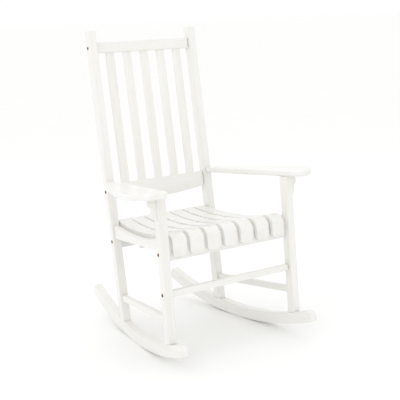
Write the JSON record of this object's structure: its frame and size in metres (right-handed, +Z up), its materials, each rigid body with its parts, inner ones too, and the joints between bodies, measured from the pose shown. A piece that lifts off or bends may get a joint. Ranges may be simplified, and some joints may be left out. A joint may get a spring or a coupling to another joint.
{
  "type": "porch rocking chair",
  "caption": "White painted hardwood rocking chair with tall slatted back, scooped slatted seat and paddle arms on splayed side frames.",
  "frame": {"origin": "centre of the bounding box in plan, on the floor the rockers rest on", "axes": "+Z up from the floor, -Y the way the sitter faces, +X to the right as seen from in front (the sitter's left)"},
  "size_m": [0.7678, 0.7942, 1.1199],
  "materials": {
    "painted_wood": "satin white paint over smooth hardwood",
    "filler": "painted wood filler",
    "bolt_metal": "dark antique brass plating",
    "plain_steel": "zinc plated",
    "bare_wood": "plain fluted beech"
  },
  "bodies": {
    "root": {"arm_bracket_left": "painted_wood", "arm_bracket_right": "painted_wood", "arm_left": "painted_wood", "arm_right": "painted_wood", "back_post_left": "painted_wood", "back_post_right": "painted_wood", "back_slat_1": "painted_wood", "back_slat_2": "painted_wood", "back_slat_3": "painted_wood", "back_slat_4": "painted_wood", "back_slat_5": "painted_wood", "barrel_nuts": "plain_steel", "crest_rail": "painted_wood", "dowels": "bare_wood", "frame_bolts": "bolt_metal", "front_leg_left": "painted_wood", "front_leg_right": "painted_wood", "front_stretcher": "painted_wood", "lumbar_rail": "painted_wood", "rocker_left": "painted_wood", "rocker_right": "painted_wood", "rocker_screws": "plain_steel", "seat_bearer": "painted_wood", "seat_front_rail": "painted_wood", "seat_rear_rail": "painted_wood", "seat_screw_plugs": "filler", "seat_screws": "plain_steel", "seat_side_rail_left": "painted_wood", "seat_side_rail_right": "painted_wood", "seat_slat_1": "painted_wood", "seat_slat_2": "painted_wood", "seat_slat_3": "painted_wood", "seat_slat_4": "painted_wood", "seat_slat_5": "painted_wood", "seat_slat_6": "painted_wood", "seat_slat_7": "painted_wood", "side_stretcher_left": "painted_wood", "side_stretcher_right": "painted_wood"}
  },
  "joints": []
}
